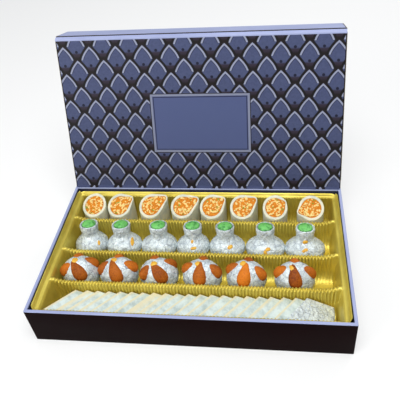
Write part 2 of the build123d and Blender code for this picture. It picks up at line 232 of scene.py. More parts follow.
outside = [box_ring(edge_round, 0), box_ring(edge_round * bevel_share, edge_round * bevel_share)]
outside += [box_ring(0, edge_round), box_ring(0, box_height - rim_turn)]
outside += [box_ring(paper_thick, box_height - rim_turn), box_ring(paper_thick, paper_thick)]
base_wrap = new_piece("base_dark_wrap", *stacked(outside), "base", "dark_wrap_paper",
                      "base_wrap", "base_bottom_paper")

quarter_turns = [math.pi / 2 * step / round_steps for step in range(round_steps + 1)]
lining = [box_ring(skin_gap, box_height - rim_turn)]
for angle in quarter_turns:
    lining.append(box_ring(edge_round * (1 - math.cos(angle)) + skin_gap,
                           box_height - edge_round * (1 - math.sin(angle))))
for angle in quarter_turns:
    lining.append(box_ring(wall - edge_round * (1 - math.sin(angle)),
                           box_height - edge_round * (1 - math.cos(angle)), inner_round))
for inset, level_up in ((wall, box_height - rim_band), (wall, wall + edge_round),
                        (wall + edge_round, wall)):
    lining.append(box_ring(inset, level_up, inner_round))
floor_ring = len(lining) - 1
under = wall - paper_thick
for inset, level_up in ((wall + edge_round, under), (under, under),
                        (under, box_height - edge_round - paper_thick)):
    lining.append(box_ring(inset, level_up, inner_round))
for level_up in (box_height - edge_round - paper_thick, box_height - rim_turn):
    lining.append(box_ring(paper_thick + skin_gap, level_up))
points, faces = stacked(lining, capped=False)
count = len(lining[0])
floor_start = floor_ring * count
faces = faces[:floor_start] + faces[floor_start + count:]
faces.append(tuple(range(floor_start, floor_start + count)))
faces.append(tuple(reversed(range(floor_start + count, floor_start + 2 * count))))
last_start = (len(lining) - 1) * count
for step in range(count):
    ahead_step = (step + 1) % count
    faces.append((last_start + step, last_start + ahead_step, ahead_step, step))
base_lining = new_piece("base_lavender_lining", points, faces, "base", "lavender_paper", "base_lining")


def mottled(name, dark, light, patch, detail, roughness, uneven=0.5, span=(0, 1), grain=None,
            strength=0.0, depth=0.0, also=None):
    """A finish in patches of two colours, of the size patch. Its roughness is a number or a range
    that follows the patches. It is raised by depth at the patches, or at a grain that is given as
    its size and detail. Sizes are in millimetres."""
    made, tree = new_material(name)
    place = add_node(tree, "ShaderNodeTexCoord").outputs["Object"]
    patches = add_node(tree, "ShaderNodeTexNoise", {"Vector": place, "Scale": 1 / (patch * mm),
                       "Detail": detail, "Roughness": uneven})
    share = add_node(tree, "ShaderNodeMapRange", {"Value": patches, "From Min": span[0],
                     "From Max": span[1]})
    shade = add_node(tree, "ShaderNodeMix", {0: share, 6: colour(dark), 7: colour(light)},
                     data_type="RGBA")
    if isinstance(roughness, tuple):
        roughness = add_node(tree, "ShaderNodeMapRange", {"Value": patches, "To Min": roughness[0],
                             "To Max": roughness[1]})
    shader = add_node(tree, "ShaderNodeBsdfPrincipled", {"Base Color": shade.outputs[2],
                      "Roughness": roughness, **(also or {})})
    height = patches
    if grain:
        height = add_node(tree, "ShaderNodeTexNoise", {"Vector": place, "Scale": 1 / (grain[0] * mm),
                          "Detail": grain[1]})
    if strength:
        raised = add_node(tree, "ShaderNodeBump", {"Height": height, "Strength": strength,
                          "Distance": depth * mm})
        tree.links.new(raised.outputs[0], shader.inputs["Normal"])
    add_node(tree, "ShaderNodeOutputMaterial", {"Surface": shader})
    return made


# Laminated paper, printed solid dark brown: matt film over coated paper, a little lighter where
# the film is rubbed, with a faint paper tooth of about 1 mm.
dark_paper = mottled("laminated_dark_paper", "#080102", "#180405", 71.43, 3.0, (0.42, 0.58),
                     grain=(1.111, 2.0), strength=0.12, depth=0.2, also={"Specular IOR Level": 0.015})

# Satin lavender paper is coated stock with fine fibres of under 1 mm and soft handling marks. The
# inner wall is lined in the same stock. Below the rim band it is given a dark navy colour instead:
# painted shade, standing for the shade that falls down the inner wall towards the tray.
lavender = mottled("satin_lavender_paper", "#8790b8", "#a9b1d3", 45.45, 4.0, 0.5, grain=(0.7143, 3.0),
                   strength=0.15, depth=0.2)
inner_wall_painted_shade = mottled("inner_wall_painted_shade_paper", "#23253a", "#343955", 25.0, 4.0, 0.6, strength=0.15, depth=0.3,
                also={"Specular IOR Level": 0.3})

# Greyboard is recycled pulp, seen only at a cut edge, speckled at about 1.5 mm. The keeper discs
# and the flap's magnets are let into it: bright nickel plate with fine handling scratches.
greyboard = mottled("pulp_greyboard", "#6f6a60", "#a8a294", 1.429, 5.0, 0.9)
plated = mottled("nickel_plated_steel", "#c9cbd0", "#c9cbd0", 2.5, 3.0, (0.2, 0.4), also={"Metallic": 1.0})


def paint(thing, *materials):
    """Gives a piece or a CAD node its materials in place of what it had."""
    thing.data.materials.clear()
    for one in materials:
        thing.data.materials.append(one)


nodes = frame["nodes"]
paint(base_wrap, dark_paper)
paint(base_lining, lavender, inner_wall_painted_shade)
# Inner wall faces below the rim band take the painted shade in slot 1, and the rim band stays lavender.
for polygon in base_lining.data.polygons:
    if polygon.center.z < (box_height - rim_band) * mm:
        polygon.material_index = 1
for name in ("base_board", "cover_board", "flap_board"):
    paint(nodes[name], greyboard)
for name in ("front_keepers", "flap_magnets"):
    paint(nodes[name], plated)

# Cover: a greyboard panel in the same dark wrap, with the printed sheet glued inside. Its own
# directions are x along the box, s up the cover from the hinge line, and n towards the inside.
cover_lean = math.radians(18.5)
cover_groove = 8.0
cover_reach = 168.0
cover_outer = -3.2
cover_inner = -0.45


def on_cover(x, s, n):
    """A point of the open cover in the frame of the box."""
    return (
        x,
        box_half[1] + s * math.sin(cover_lean) - n * math.cos(cover_lean),
        box_height + s * math.cos(cover_lean) + n * math.sin(cover_lean),
    )


def slab(half_x, low, high, bottom, top, turn, put):
    """A flat wrapped panel with softened edges, put in place by the function put."""
    middle, reach = (low + high) / 2, (high - low) / 2
    bevel = turn * bevel_share
    rings = []
    for inset, height in ((turn, bottom), (bevel, bottom + bevel), (0, bottom + turn),
                          (0, top - turn), (bevel, top - bevel), (turn, top)):
        rings.append([
            put(x, middle + y, z) for x, y, z in ring(half_x - inset, reach - inset, corner_round, height)
        ])
    return stacked(rings)


cover_case = new_piece(
    "cover_dark_wrap",
    *slab(box_half[0], cover_groove, cover_reach, cover_outer, cover_inner, edge_round, on_cover),
    "cover", "dark_wrap_paper", "cover_wrap")
paint(cover_case, dark_paper)

# Printed liner: coated paper with rows of pointed scales in periwinkle blue, each with a pale
# outline, a thin dark line inside it and a dark dot near its foot, on near-black brown. A plain
# plaque with a double frame stands in the middle. Sizes are those of the print, in millimetres.
scale_pitch = 28.45
scale_rise = 14.45
first_tip = 44.9
side_spread = 1.108
side_bow = 0.0285
dot_below_tip = 20.3
plaque_middle = 75.0
plaque_half = (53.4, 33.0)


def printed_paper(name, coordinates, output, **settings):
    """The printed sheet's material, laid on the places that one node gives."""
    made, tree = new_material(name)
    place = add_node(tree, coordinates, **settings).outputs[output]
    where = add_node(tree, "ShaderNodeSeparateXYZ", {"Vector": place})
    cover_way = (0, math.sin(cover_lean) / mm, math.cos(cover_lean) / mm)
    up_cover = add_node(tree, "ShaderNodeVectorMath", {0: place, 1: cover_way}, operation="DOT_PRODUCT")
    hinge_level = box_half[1] * math.sin(cover_lean) + box_height * math.cos(cover_lean)
    values = {"x": where.outputs["X"], "s_raw": up_cover.outputs["Value"]}
    steps = (
        ("x_mm", "MULTIPLY", "x", 1 / mm),
        ("s", "SUBTRACT", "s_raw", hinge_level),
        ("above_first", "SUBTRACT", "s", first_tip),
        ("row_exact", "DIVIDE", "above_first", scale_rise),
        ("row", "CEIL", "row_exact"),
        ("below_share", "SUBTRACT", "row", "row_exact"),
        ("below", "MULTIPLY", "below_share", scale_rise),
        ("row_half", "MULTIPLY", "row", 0.5),
        ("column_exact", "DIVIDE", "x_mm", scale_pitch),
        ("column_shifted", "SUBTRACT", "column_exact", "row_half"),
        ("column", "ROUND", "column_shifted"),
        ("aside_signed", "SUBTRACT", "column_shifted", "column"),
        ("aside_share", "ABSOLUTE", "aside_signed"),
        ("aside", "MULTIPLY", "aside_share", scale_pitch),
        ("bend", "MULTIPLY", "below", -side_bow),
        ("spread", "ADD", "bend", side_spread),
        ("edge", "MULTIPLY", "spread", "below"),
        ("edge_over", "SUBTRACT", "edge", "aside"),
        ("slope", "ADD", "spread", "bend"),
        ("slope_square", "MULTIPLY", "slope", "slope"),
        ("slope_norm", "ADD", "slope_square", 1.0),
        ("slope_root", "SQRT", "slope_norm"),
        ("inside", "DIVIDE", "edge_over", "slope_root"),
        ("behind_aside", "SUBTRACT", scale_pitch / 2, "aside"),
        ("dot_drop", "SUBTRACT", "below", dot_below_tip - scale_rise),
        ("dot_drop_square", "MULTIPLY", "dot_drop", "dot_drop"),
        ("dot_aside_square", "MULTIPLY", "behind_aside", "behind_aside"),
        ("dot_square", "ADD", "dot_drop_square", "dot_aside_square"),
        ("dot", "SQRT", "dot_square"),
        ("plaque_x", "ABSOLUTE", "x_mm"),
        ("plaque_over_x", "SUBTRACT", "plaque_x", plaque_half[0]),
        ("plaque_s_signed", "SUBTRACT", "s", plaque_middle),
        ("plaque_s", "ABSOLUTE", "plaque_s_signed"),
        ("plaque_over_s", "SUBTRACT", "plaque_s", plaque_half[1]),
        ("plaque", "MAXIMUM", "plaque_over_x", "plaque_over_s"),
    )
    for result, operation, *terms in steps:
        inputs = {i: values[t] if isinstance(t, str) else t for i, t in enumerate(terms)}
        values[result] = add_node(tree, "ShaderNodeMath", inputs, operation=operation)

    def printed(below, measure, start, end, code):
        """One colour over what is below it, growing in where the measure goes from start to end."""
        share = add_node(tree, "ShaderNodeMapRange", {"Value": values[measure], "From Min": start,
                         "From Max": end}, interpolation_type="SMOOTHSTEP")
        return add_node(tree, "ShaderNodeMix", {0: share, 6: below, 7: colour(code)},
                        data_type="RGBA").outputs[2]

    speckle = add_node(tree, "ShaderNodeTexNoise", {"Vector": place, "Scale": 1 / (2.381 * mm),
                       "Detail": 3.0})
    ink = add_node(tree, "ShaderNodeMix", {0: speckle, 6: colour("#363d5c"), 7: colour("#4c5476")},
                   data_type="RGBA").outputs[2]
    behind = ink
    for layer in (("below", 6.0, 8.6, "#2b2331"), ("below", 9.0, 12.8, "#130a0c"),
                  ("dot", 1.9, 1.2, "#12132a"), ("inside", -2.8, -2.0, "#0c0709"),
                  ("behind_aside", 8.9, 10.2, "#130b0e")):
        behind = printed(behind, *layer)
    front = ink
    for start, end, code in ((3.2, 2.3, "#242846"), (2.15, 1.75, "#8d92a8"), (0.3, 0.05, "#0c0709")):
        front = printed(front, "inside", start, end, code)
    is_front = add_node(tree, "ShaderNodeMath", {0: values["inside"], 1: 0.0}, operation="GREATER_THAN")
    shown = add_node(tree, "ShaderNodeMix", {0: is_front, 6: behind, 7: front},
                     data_type="RGBA").outputs[2]
    for start, end, code in ((0.8, 0.4, "#120c12"), (-0.1, -0.3, "#7c8196"), (-2.3, -2.6, "#4a5379"),
                             (-2.9, -3.1, "#232744"), (-3.8, -4.1, "#4a547b")):
        shown = printed(shown, "plaque", start, end, code)
    tooth = add_node(tree, "ShaderNodeTexNoise", {"Vector": place, "Scale": 1 / (0.8333 * mm),
                     "Detail": 2.0})
    raised = add_node(tree, "ShaderNodeBump", {"Height": tooth, "Strength": 0.1, "Distance": 0.2 * mm})
    shader = add_node(tree, "ShaderNodeBsdfPrincipled", {"Base Color": shown, "Roughness": 0.5,
                      "Normal": raised, "Specular IOR Level": 0.3})
    add_node(tree, "ShaderNodeOutputMaterial", {"Surface": shader})
    return made


paint(nodes["cover_liner"], printed_paper("printed_liner_paper", "ShaderNodeTexCoord", "Object"))

# Hinge papers: the dark outer paper runs up the back wall and on to the cover, and an inner strip
# is glued on the rim and runs up to the printed sheet. Both bend where the cover turns.
hinge_half = box_half[0] - 0.4
strip_half = box_half[0] - 1.5
strip_thick = 0.24
paper_gap = 0.12
wall_low, wall_high = 38.0, 45.6
rim_inner, rim_outer = 81.6, 83.4
outer_reach, inner_reach = 8.6, 9.2


def ribbon(name, path, half, thick, side, slot, *nodes_gone):
    """A strip of paper along a path of (y, z), thick on the side that side points to."""
    middle = [Vector((y, z)) for y, z in path]
    points, faces = [], []
    for number, point in enumerate(middle):
        run = middle[min(number + 1, len(middle) - 1)] - middle[max(number - 1, 0)]
        normal = Vector((-run.y, run.x)).normalized() * side * thick
        for x in (-half, half):
            points.append((x, point.x, point.y))
            points.append((x, point.x + normal.x, point.y + normal.y))
    for number in range(len(middle) - 1):
        a, b = number * 4, number * 4 + 4
        for one, two in ((0, 2), (3, 1), (1, 0), (2, 3)):
            faces.append((a + one, a + two, b + two, b + one))
    last = (len(middle) - 1) * 4
    faces += [(0, 1, 3, 2), (last, last + 2, last + 3, last + 1)]
    if side > 0:
        faces = [tuple(reversed(f)) for f in faces]
    return new_piece(name, points, faces, None, slot, *nodes_gone, smooth=50)


def cover_yz(s, n):
    """A place on the cover seen from the side."""
    return on_cover(0, s, n)[1:]


outer_strip = [(box_half[1], z) for z in np.linspace(wall_low, wall_high, 6)]
outer_strip += [cover_yz(s, -0.82 + 0.8 * math.exp(-s)) for s in np.linspace(0.6, outer_reach, 12)]
outer_hinge = ribbon("hinge_outer_paper", outer_strip, hinge_half, paper_thick, -1, "dark_wrap_paper")
inner_strip = [(y, box_height + paper_gap) for y in np.linspace(rim_inner, rim_outer, 4)]
for s in np.linspace(0.5, inner_reach, 12):
    inner_strip.append(cover_yz(s, cover_inner + 0.35 * math.exp(-s * 0.8)))
inner_hinge = ribbon("hinge_inner_strip", inner_strip, strip_half, strip_thick, 1, "lavender_paper",
                     "hinge_strip")
for strip in (outer_hinge, inner_hinge):
    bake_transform(strip)
paint(outer_hinge, dark_paper)

# The strip is cut from the printed sheet, so the scales run on across the groove. Its print is laid
# on the places that its points have while the box stands open.
rest_place = inner_hinge.data.attributes.new("rest_place", "FLOAT_VECTOR", "POINT")
for point, vertex in zip(rest_place.data, inner_hinge.data.vertices):
    point.vector = vertex.co
paint(inner_hinge, printed_paper("printed_hinge_paper", "ShaderNodeAttribute", "Vector",
                                 attribute_name="rest_place"))

# Closing flap: a narrow wrapped panel with a lavender sheet inside, folded square behind the
# cover, with a paper hinge of its own.
flap_pivot = 170.0
flap_middle = -1.7
flap_start = 2.0
flap_reach = 36.0
flap_outer = -1.5
flap_inner = 1.25


def on_flap(x, out, up):
    """A point of the folded flap in the frame of the box."""
    return on_cover(x, flap_pivot + up, flap_middle - out)


def square_fold(s, n, turn):
    """A strip's quarter turn, from along the cover towards the flap, seen from the side."""
    fold_steps = 6
    angles = [math.pi / 2 * step / fold_steps for step in range(fold_steps + 1)]
    return [cover_yz(s + turn * math.sin(angle), n - turn * (1 - math.cos(angle))) for angle in angles]


flap_case = new_piece(
    "flap_dark_wrap",
    *slab(box_half[0], flap_start, flap_reach, flap_outer, flap_inner, edge_round, on_flap),
    "flap", "dark_wrap_paper", "flap_wrap")
paint(flap_case, dark_paper)
paint(nodes["flap_lining"], lavender)
outer_glued, edge_glued = -2.6, -0.34
edge_half = box_half[0] - 0.3
edge_thick = 0.25
flap_path = [cover_yz(s, outer_glued) for s in (166.8, 167.4, 168.0)]
flap_path += square_fold(168.6, outer_glued, 1.4)
flap_path += [cover_yz(flap_pivot, flap_middle - out) for out in (2.6, 2.9, 3.2)]
flap_hinge = ribbon("flap_hinge_paper", flap_path, hinge_half, paper_thick, 1, "dark_wrap_paper")
edge_path = [cover_yz(s, edge_glued) for s in (166.4, 166.9, 167.4)]
edge_path += square_fold(167.7, edge_glued, 1.1)
edge_path += [cover_yz(168.9 + 0.25 * step, -1.6 - 0.33 * step) for step in range(1, 7)]
flap_edge = ribbon("flap_edge_paper", edge_path, edge_half, edge_thick, -1, "lavender_paper")
paint(flap_edge, lavender)
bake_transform(flap_edge)
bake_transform(flap_hinge)
paint(flap_hinge, dark_paper)

# Gold tray: one thin sheet of metallised plastic, vacuum formed, with a stepped lip that turns up
# to the rim, four rows and three hollow dividers. Every long wall is pressed in upright flutes,
# which make a row of bright beads where they turn over a divider. The sheet is a net of lines.
tray_half = (146.0, 80.0)
tray_corner = 7.0
tray_floor = 3.7
lip_top = 40.0
end_edge_top, side_edge_top = 44.0, 41.6
shelf_top = 38.6
divider_top = 35.0
lip_width = 1.6
lip_soft = 0.3
edge_turn = 0.5
end_bend, side_bend = 0.7, 0.4
side_shelf = 2.2
end_shelf = 3.4
sheet_thick = 0.35
side_lean = math.tan(math.radians(2.0)) * (shelf_top - tray_floor)
end_lean = math.tan(math.radians(6.5)) * (shelf_top - tray_floor)
divider_half = 2.2
dividers = tuple(share * box_half[1] for share in (-0.476, -0.012, 0.518))
flute_pitch = 3.2
flute_depth = 0.8
bead_height = 2.2
flute_fade = 2.0
crest_gap = 0.4
crown = 0.06
flat_half = 126.9
slope_half = 138.2
net_step = 0.55
wall_steps = 6
row_half = tray_half[0] - lip_width - end_shelf

end_wall_top = shelf_top - 0.3
x_lines = [(-tray_half[0], end_edge_top), (-tray_half[0] + edge_turn, lip_top + end_bend),
           (-tray_half[0] + lip_width - lip_soft, lip_top), (-tray_half[0] + lip_width, shelf_top),
           (-row_half - 0.8, shelf_top), (-row_half, end_wall_top)]
for step in range(1, wall_steps + 1):
    share = step / wall_steps
    x_lines.append((-row_half + end_lean * share, end_wall_top + (tray_floor - end_wall_top) * share))
run = row_half - end_lean
x_lines += [(x, tray_floor) for x in np.arange(-run + net_step, 0, net_step)]
x_lines += [(-x, z) for x, z in reversed(x_lines)]

row_front = tray_half[1] - lip_width - side_shelf
y_lines = [(-tray_half[1], side_edge_top, "lip", 0),
           (-tray_half[1] + edge_turn, lip_top + side_bend, "lip", 0),
           (-tray_half[1] + lip_width - lip_soft, lip_top, "lip", 0),
           (-tray_half[1] + lip_width, shelf_top, "lip", 0), (-row_front - 0.6, shelf_top, "lip", 0)]
wall_lines = []
for share in (0.0, 0.03, 0.3, 0.65, 1.0):
    wall_lines.append((row_front - side_lean * share, shelf_top + (tray_floor - shelf_top) * share))
y_lines += [(-y, z, "wall", -1) for y, z in wall_lines]
for line in dividers:
    lean_here = side_lean * (divider_top - tray_floor) / (shelf_top - tray_floor)
    y_lines.append((line - divider_half - lean_here - 9.0, tray_floor, "floor", 0))
    for share in (0.0, 0.5, 0.9):
        y_lines.append((line - divider_half - lean_here * (1 - share), share, "divider", 1))
    for angle in (-70, -35, 0, 35, 70):
        turn = math.radians(angle)
        y_lines.append((line + divider_half * math.sin(turn), 1.0 - crown * (1 - math.cos(turn)), "top", 0))
    for share in (0.9, 0.5, 0.0):
        y_lines.append((line + divider_half + lean_here * (1 - share), share, "divider", -1))
y_lines += [(y, z, "wall", 1) for y, z in reversed(wall_lines)]
y_lines += [(-y, z, kind, side) for y, z, kind, side in reversed(y_lines[:5])]

points = []
for x, x_level in x_lines:
    near_end = min(max((abs(x) - flat_half) / (slope_half - flat_half), 0), 1)
    crest = divider_top + (shelf_top - crest_gap - divider_top) * near_end
    in_run = max(0.0, min(1.0, (run - abs(x)) / flute_fade))
    wave = 0.5 + 0.5 * math.cos(2 * math.pi * x / flute_pitch)
    for y, y_level, kind, side in y_lines:
        z = y_level
        if kind in ("divider", "top"):
            z = tray_floor + (crest - tray_floor) * y_level
        if kind == "top":
            z -= bead_height * (1 - wave) * in_run
        if kind in ("wall", "divider"):
            inwards = -side if kind == "wall" else side
            y = y + inwards * flute_depth * wave * in_run
        z = max(z, x_level)
        over_x = abs(x) - (tray_half[0] - tray_corner)
        over_y = abs(y) - (tray_half[1] - tray_corner)
        px, py = x, y
        if over_x > 0 and over_y > 0:
            squeeze = max(over_x, over_y) / math.hypot(over_x, over_y)
            px = math.copysign(tray_half[0] - tray_corner + over_x * squeeze, x)
            py = math.copysign(tray_half[1] - tray_corner + over_y * squeeze, y)
        points.append((px, py, z))
rows_down = len(y_lines)
faces = []
for column in range(len(x_lines) - 1):
    for row in range(rows_down - 1):
        a = column * rows_down + row
        faces.append((a, a + rows_down, a + rows_down + 1, a + 1))
tray = new_piece("gold_tray_sheet", points, faces, "tray", "gold_film", "gold_tray", smooth=0)
thickness = tray.modifiers.new("sheet", "SOLIDIFY")
thickness.thickness = sheet_thick * mm
thickness.offset = -1.0


def made_plain(thing):
    """Turns a piece and its live modifiers into one plain mesh."""
    bpy.context.view_layer.update()
    finished = thing.evaluated_get(bpy.context.evaluated_depsgraph_get())
    settled = bpy.data.meshes.new_from_object(finished)
    thing.modifiers.clear()
    thing.data = settled


made_plain(tray)

# Metallised polystyrene: a thin gold film over formed plastic, so it reads as half a metal under a
# soft haze, uneven where the sheet was drawn thin, with small ripples of about 5 mm.
paint(tray, mottled("metallised_gold_film", "#b29922", "#f5e470", 22.22, 4.0, (0.36, 0.5),
                    grain=(5.556, 2.0), strength=0.35, depth=0.6, also={"Metallic": 0.55}))

# Rolls: a white cashew sheet wound round chopped nuts in saffron paste, cut on a slant and stood
# on end. The outer layer is soft, so its wall waves a little and its cut lip is rounded.
sweet_floor = 3.9
roll_line = 60.95
roll_radius = 13.0
roll_nose_radius = 4.0
roll_nose_reach = 16.0
roll_shell = 2.5
roll_height = 35.0
roll_top = sweet_floor + roll_height
roll_slant = math.tan(math.radians(22.0))
roll_recess = 0.8
roll_sides = 96
row_length = 141.0
roll_shares = (-0.876, -0.668, -0.412, -0.158, 0.073, 0.309, 0.561, 0.835)
roll_noses = (0.45, 0.8, 1.0, 0.95, 0.8, 0.9, 0.6, 0.75)
roll_turns = (40, 34, 32, 28, 34, 32, 30, -160)
roll_lip = 0.7
skin_proud = 0.35
skin_deep = 4.0
wall_swell = 0.012
lip_wave = 0.18


def roll_outline(nose_share, turn, skin):
    """The tight skin round a big and a small circle, as distances along even directions."""
    angle = math.radians(turn)
    nose = Vector((math.cos(angle), math.sin(angle))) * roll_nose_reach * nose_share
    outline = []
    for step in range(roll_sides):
        around = 2 * math.pi * step / roll_sides
        direction = Vector((math.cos(around), math.sin(around)))
        best = None
        for share in np.linspace(0, 1, 33):
            middle = nose * share
            size = (roll_radius - skin) * (1 - share) + (roll_nose_radius - skin / 2) * share
            along = direction.dot(middle)
            gap = size * size - (middle.length_squared - along * along)
            if gap >= 0:
                reach = along + math.sqrt(gap)
                best = reach if best is None or reach > best else best
        outline.append(direction * best)
    return outline


def shake(x, y, z, scale, seed):
    """Smooth noise between about -1 and 1 at a place in millimetres."""
    return noise.fractal(Vector((x / scale + seed, y / scale, z / scale)), 1.0, 2.0, 3)


def cut_net(start, levels):
    """Upward faces between rings of points that go outwards over a cut roll."""
    faces = []
    for level_number in range(levels):
        for step in range(roll_sides):
            ahead_step = (step + 1) % roll_sides
            a = start + level_number * roll_sides
            faces.append((a + step, a + roll_sides + step, a + roll_sides + ahead_step, a + ahead_step))
    return faces


roll_skins, cut_faces = [], []
for number, (share, nose_share, turn) in enumerate(zip(roll_shares, roll_noses, roll_turns), start=1):
    place_x = share * row_length
    outer = roll_outline(nose_share, turn, -skin_proud)
    inner = roll_outline(nose_share, turn, roll_shell)
    rings = []
    for level_share in np.linspace(0, 1, 12):
        one = []
        for point in outer:
            z = sweet_floor + (roll_height - roll_lip + point.y * roll_slant) * level_share
            swell = 1 + wall_swell * shake(point.x, point.y, z, 12.0, number * 9)
            one.append((place_x + point.x * swell, roll_line + point.y * swell, z))
        rings.append(one)
    lip = [(outer, inner, 1 - math.cos(angle), 1 - math.sin(angle)) for angle in quarter_turns[1:]]
    lip += [(inner, outer, 1 - math.sin(angle), 1 - math.cos(angle)) for angle in quarter_turns]
    for near, far, aside, down in lip:
        one = []
        for here, there in zip(near, far):
            point = here + (there - here).normalized() * roll_lip * aside
            z = roll_top - roll_lip * down + point.y * roll_slant
            z += lip_wave * shake(point.x, point.y, z, 5.0, number * 7)
            one.append((place_x + point.x, roll_line + point.y, z))
        rings.append(one)
    rings.append([(place_x + p.x, roll_line + p.y, roll_top - skin_deep + p.y * roll_slant) for p in inner])
    roll_skins.append(new_piece(f"roll_skin_{number}", *stacked(rings), "rolls", "cashew_shell",
                                f"roll_{number}", smooth=60))
    cut_faces.append((number, place_x, inner))

filling_rings = 12
filling_fit = 0.995
filling_deep = 3.8
filling_dome = 0.35
filling_lumps = 0.45
middle_share = 0.001
filling_points, filling_faces = [], []
for number, place_x, inner in cut_faces:
    start = len(filling_points)
    for level_number in range(filling_rings + 1):
        share = level_number / filling_rings
        for point in inner:
            p = point * max(share, middle_share)
            z = roll_top - roll_recess + p.y * roll_slant + filling_dome * (1 - share**2)
            z += filling_lumps * shake(place_x + p.x, p.y, 0, 2.6, number * 5)
            filling_points.append((place_x + p.x * filling_fit, roll_line + p.y * filling_fit, z))
    foot = len(filling_points)
    for p in inner:
        filling_points.append((place_x + p.x * filling_fit, roll_line + p.y * filling_fit,
                               roll_top - filling_deep + p.y * roll_slant))
    filling_faces += cut_net(start, filling_rings + 1)
    filling_faces.append(tuple(reversed(range(foot, foot + roll_sides))))
filling = new_piece("roll_filling_paste", filling_points, filling_faces, "rolls", "nut_filling",
                    "roll_fillings", smooth=0)

# Cashew dough under silver leaf: kneaded by hand, off-white, matt and slightly waxy, with grey-blue
# leaf rubbed on in patches of about 9 mm.
dough = mottled("cashew_dough_with_leaf", "#c3c8b8", "#e6e1c6", 9.091, 5.0, 0.55, uneven=0.65,
                span=(0.3, 0.62), grain=(1.4286, 4.0), strength=0.5, depth=0.4,
                also={"Subsurface Weight": 0.05})
for skin_of_roll in roll_skins:
    paint(skin_of_roll, dough)

# Saffron paste: moist orange paste of ground nuts, pressed into each roll before it is cut. It is
# lumpy at about 3 mm, and darker in its hollows.
paint(filling, mottled("saffron_nut_paste", "#b8620a", "#ea9826", 3.0303, 4.0, 0.5, strength=0.6,
                       depth=0.6, also={"Specular IOR Level": 0.15}))

# Chopped nuts: broken cashew and almond crumbs of about 2 to 4 mm and green pistachio slivers lie in
# the paste at every angle. One tree scatters crumbs over the cut faces of all rolls.
crumb_look = {}
for crumb_name, dark_code, light_code in (
    ("pale_nut", "#efc468", "#fce9a6"),
    ("toasted_nut", "#cf7a16", "#ee9f38"),
    ("green_nut", "#6f8226", "#a9b748"),
):
    crumb_look[crumb_name] = mottled(crumb_name + "_crumb", dark_code, light_code, 3.8462, 2.0, 0.5,
                                     also={"Specular IOR Level": 0.15})

scatter = bpy.data.node_groups.new("crumbs_on_cut_face", "GeometryNodeTree")
scatter.interface.new_socket("Geometry", in_out="INPUT", socket_type="NodeSocketGeometry")
for socket_name, kind in (
    ("Crumbs per square metre", "NodeSocketFloat"),
    ("Smallest crumb", "NodeSocketFloat"),
    ("Largest crumb", "NodeSocketFloat"),
    ("Draw", "NodeSocketInt"),
    ("Material", "NodeSocketMaterial"),
):
    scatter.interface.new_socket(socket_name, in_out="INPUT", socket_type=kind)
scatter.interface.new_socket("Geometry", in_out="OUTPUT", socket_type="NodeSocketGeometry")
given = add_node(scatter, "NodeGroupInput")
spread = add_node(scatter, "GeometryNodeDistributePointsOnFaces", {"Mesh": given.outputs["Geometry"],
                  "Seed": given.outputs["Draw"], "Density": given.outputs["Crumbs per square metre"]})
crumb = add_node(scatter, "GeometryNodeMeshIcoSphere", {"Radius": 1.0, "Subdivisions": 1})
size = add_node(scatter, "FunctionNodeRandomValue", {2: given.outputs["Smallest crumb"],
                3: given.outputs["Largest crumb"], "Seed": given.outputs["Draw"]}, data_type="FLOAT")
stretch = add_node(scatter, "FunctionNodeRandomValue", {0: (0.6, 0.6, 0.35), 1: (1.5, 0.9, 0.6),
                   "Seed": given.outputs["Draw"]}, data_type="FLOAT_VECTOR")
full = add_node(scatter, "ShaderNodeVectorMath", {0: stretch, "Scale": size.outputs[1]},
                operation="SCALE")
spin = add_node(scatter, "FunctionNodeRandomValue", {0: (-0.5, -0.5, 0.0), 1: (0.5, 0.5, 6.28),
                "Seed": given.outputs["Draw"]}, data_type="FLOAT_VECTOR")
laid = add_node(scatter, "GeometryNodeInstanceOnPoints", {"Points": spread.outputs["Points"],
                "Instance": crumb.outputs["Mesh"], "Rotation": spin, "Scale": full})
real = add_node(scatter, "GeometryNodeRealizeInstances", {0: laid})
clad = add_node(scatter, "GeometryNodeSetMaterial", {"Geometry": real,
                "Material": given.outputs["Material"]})
add_node(scatter, "NodeGroupOutput", {0: clad})

crumb_stand = 0.45
top_points, top_faces = [], []
for number, place_x, inner in cut_faces:
    top_faces += cut_net(len(top_points), 2)
    for share in (0.05, 0.5, 0.93):
        for point in inner:
            p = point * share
            top_points.append((place_x + p.x, roll_line + p.y,
                               roll_top - roll_recess + crumb_stand + p.y * roll_slant))

for crumb_name, count_here, smallest, largest, draw in (
    ("pale_nut", 165000.0, 0.8, 2.0, 3),
    ("toasted_nut", 60000.0, 0.8, 1.8, 8),
    ("green_nut", 14000.0, 0.8, 1.6, 5),
):
    piece = new_piece(f"{crumb_name}_crumbs", top_points, top_faces, "rolls", "nut_filling", smooth=0)
    crumbs = piece.modifiers.new("crumbs", "NODES")
    crumbs.node_group = scatter
    settings = {"Crumbs per square metre": count_here, "Smallest crumb": smallest * mm,
                "Largest crumb": largest * mm, "Draw": draw, "Material": crumb_look[crumb_name]}
    for item in scatter.interface.items_tree:
        if item.in_out == "INPUT" and item.name in settings:
            crumbs[item.identifier] = settings[item.name]
    made_plain(piece)

